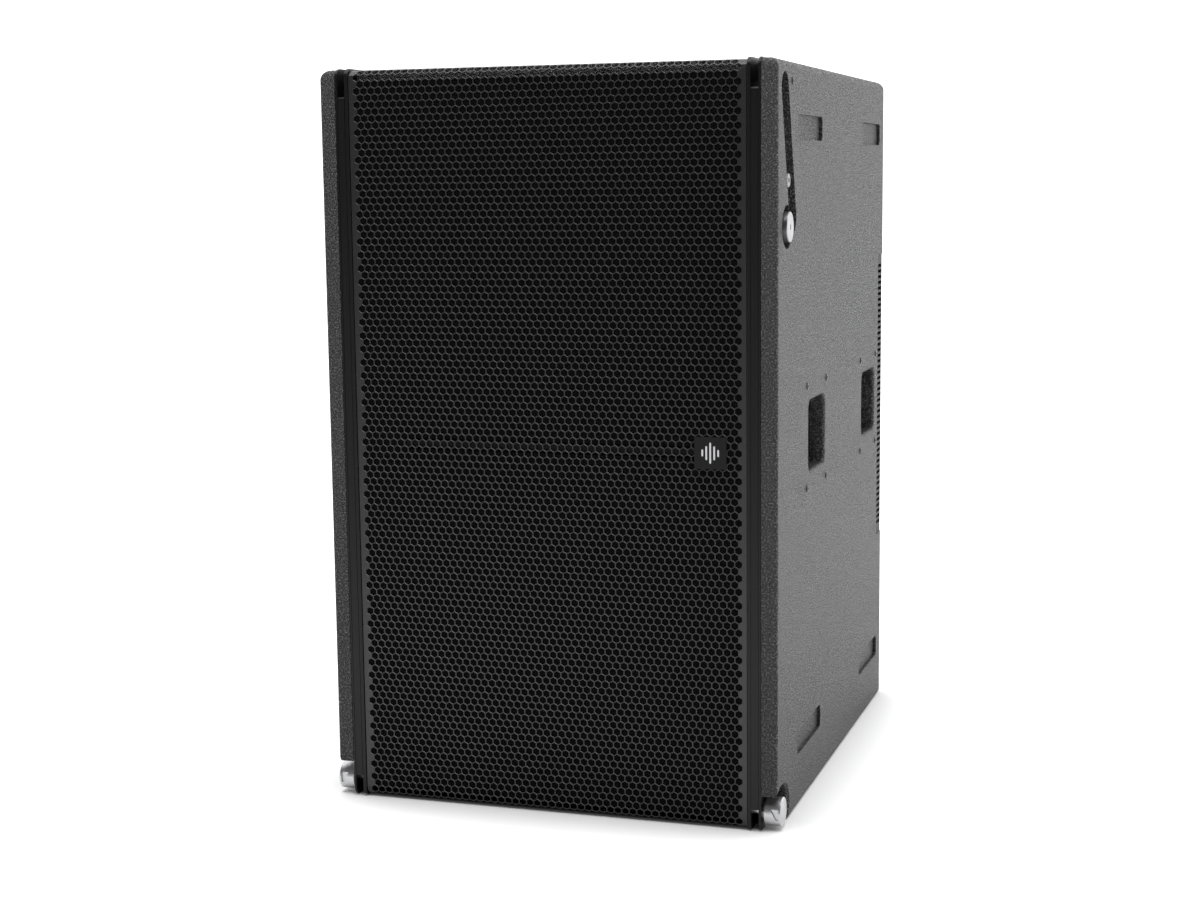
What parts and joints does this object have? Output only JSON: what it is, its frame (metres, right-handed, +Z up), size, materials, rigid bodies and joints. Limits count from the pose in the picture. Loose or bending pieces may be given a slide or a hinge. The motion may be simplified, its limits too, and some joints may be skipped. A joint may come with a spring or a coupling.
{
  "type": "pa speaker cabinet",
  "caption": "Tall PA bass cabinet with a perforated front grille, hand holes, rear heatsinks, and side rails with sliding link bars and pull-out lock knobs.",
  "frame": {"origin": "centre of the underside", "axes": "+Z up, +X to the right as seen from the front, the front faces -Y"},
  "size_m": [0.7, 0.84, 1.1015],
  "materials": {
    "wall_coating": "fine textured polyurea coating on birch plywood, satin",
    "plywood": "bare birch plywood",
    "baffle_paint": "matt black paint on plywood",
    "grille_steel": "satin black powder coat on perforated steel",
    "grille_foam": "open-cell foam, black",
    "badge": "satin black plate with a pale printed motif",
    "rail_anodised": "black anodised extrusion",
    "link_steel": "black coated steel",
    "bolt_steel": "plated steel",
    "knob_metal": "bare turned aluminium, satin",
    "pin_steel": "ground steel",
    "spring_steel": "spring wire",
    "handle_plastic": "moulded, fine grain",
    "skid_plastic": "hard moulded plastic",
    "screw_black": "blackened steel",
    "basket_cast": "cast, black paint",
    "cone_paper": "pressed paper pulp",
    "surround_rubber": "coated cloth roll",
    "spider_cloth": "impregnated cloth",
    "coil_former": "thin former with its winding",
    "magnet_ferrite": "sintered ferrite",
    "motor_steel": "plated steel",
    "gasket_rubber": "foamed gasket",
    "port_plastic": "moulded tube",
    "panel_paint": "fine textured black powder coat",
    "heatsink_anodised": "black anodised, matt",
    "connector_plastic": "moulded",
    "dial_plastic": "moulded, with a pale pointer groove",
    "brass_bush": "turned brass",
    "board_green": "circuit board with its components",
    "transformer_wound": "wound ring core, tape wrapped"
  },
  "bodies": {
    "cabinet": {"side_panel_right": "wall_coating", "side_panel_left": "wall_coating", "top_panel": "wall_coating", "bottom_panel": "wall_coating", "back_panels": "wall_coating", "cross_braces": "plywood", "shelf_brace": "plywood", "baffle_board": "baffle_paint", "cheek_panels": "baffle_paint", "centre_brace": "baffle_paint", "front_grille": "grille_steel", "badge_plate": "badge", "grille_foam": "grille_foam", "rigging_rail_right": "rail_anodised", "rigging_rail_left": "rail_anodised", "link_guides": "link_steel", "lock_sleeves": "pin_steel", "lock_springs": "spring_steel", "handle_cups": "handle_plastic", "skid_feet": "skid_plastic", "side_screws": "screw_black", "woofer_screws": "screw_black", "panel_screws": "screw_black", "woofer_baskets": "basket_cast", "woofer_surrounds": "surround_rubber", "woofer_spiders": "spider_cloth", "woofer_magnets": "magnet_ferrite", "woofer_top_plates": "motor_steel", "woofer_pole_plates": "motor_steel", "woofer_gaskets": "gasket_rubber", "woofer_terminals": "connector_plastic", "power_inlet": "connector_plastic", "signal_sockets": "connector_plastic", "port_tubes": "port_plastic", "mounting_plate": "panel_paint", "connector_panel": "panel_paint", "amplifier_cover": "panel_paint", "heatsinks": "heatsink_anodised", "dial_bush": "brass_bush", "circuit_board": "board_green", "power_transformer": "transformer_wound"},
    "link_right": {"link_bar_right": "link_steel", "guide_bolt_right": "bolt_steel"},
    "link_left": {"link_bar_left": "link_steel", "guide_bolt_left": "bolt_steel"},
    "upper_lock_right": {"upper_lock_knob_right": "knob_metal", "upper_lock_pin_right": "pin_steel"},
    "upper_lock_left": {"upper_lock_knob_left": "knob_metal", "upper_lock_pin_left": "pin_steel"},
    "base_lock_right": {"base_lock_knob_right": "knob_metal", "base_lock_pin_right": "pin_steel"},
    "base_lock_left": {"base_lock_knob_left": "knob_metal", "base_lock_pin_left": "pin_steel"},
    "lower_cone_assembly": {"lower_cone": "cone_paper", "lower_dust_cap": "cone_paper", "lower_coil_former": "coil_former"},
    "upper_cone_assembly": {"upper_cone": "cone_paper", "upper_dust_cap": "cone_paper", "upper_coil_former": "coil_former"},
    "dial": {"level_dial": "dial_plastic"}
  },
  "joints": [
    {"name": "link_slide_right", "type": "slide", "parent": "cabinet", "child": "link_right", "axis": [0, -0.2689, 0.9632], "range_m": [0, 0.132]},
    {"name": "upper_lock_pull_right", "type": "slide", "parent": "cabinet", "child": "upper_lock_right", "axis": [1, 0, 0], "range_m": [0, 0.013], "stiffness_N_per_m": 1500, "springref_m": -0.003, "deforming": ["lock_springs"]},
    {"name": "base_lock_pull_right", "type": "slide", "parent": "cabinet", "child": "base_lock_right", "axis": [1, 0, 0], "range_m": [0, 0.013], "stiffness_N_per_m": 1500, "springref_m": -0.003, "deforming": ["lock_springs"]},
    {"name": "link_slide_left", "type": "slide", "parent": "cabinet", "child": "link_left", "axis": [0, -0.2689, 0.9632], "range_m": [0, 0.132]},
    {"name": "upper_lock_pull_left", "type": "slide", "parent": "cabinet", "child": "upper_lock_left", "axis": [-1, 0, 0], "range_m": [0, 0.013], "stiffness_N_per_m": 1500, "springref_m": -0.003, "deforming": ["lock_springs"]},
    {"name": "base_lock_pull_left", "type": "slide", "parent": "cabinet", "child": "base_lock_left", "axis": [-1, 0, 0], "range_m": [0, 0.013], "stiffness_N_per_m": 1500, "springref_m": -0.003, "deforming": ["lock_springs"]},
    {"name": "lower_cone_travel", "type": "slide", "parent": "cabinet", "child": "lower_cone_assembly", "axis": [0, -1, 0], "range_m": [-0.01, 0.01], "stiffness_N_per_m": 6000, "deforming": ["woofer_surrounds", "woofer_spiders"]},
    {"name": "upper_cone_travel", "type": "slide", "parent": "cabinet", "child": "upper_cone_assembly", "axis": [0, -1, 0], "range_m": [-0.01, 0.01], "stiffness_N_per_m": 6000, "deforming": ["woofer_surrounds", "woofer_spiders"]},
    {"name": "level_dial_turn", "type": "hinge", "parent": "cabinet", "child": "dial", "pos_m": [0.06, 0.373, 0.64], "axis": [0, 1, 0], "range_deg": [-150, 150]}
  ]
}
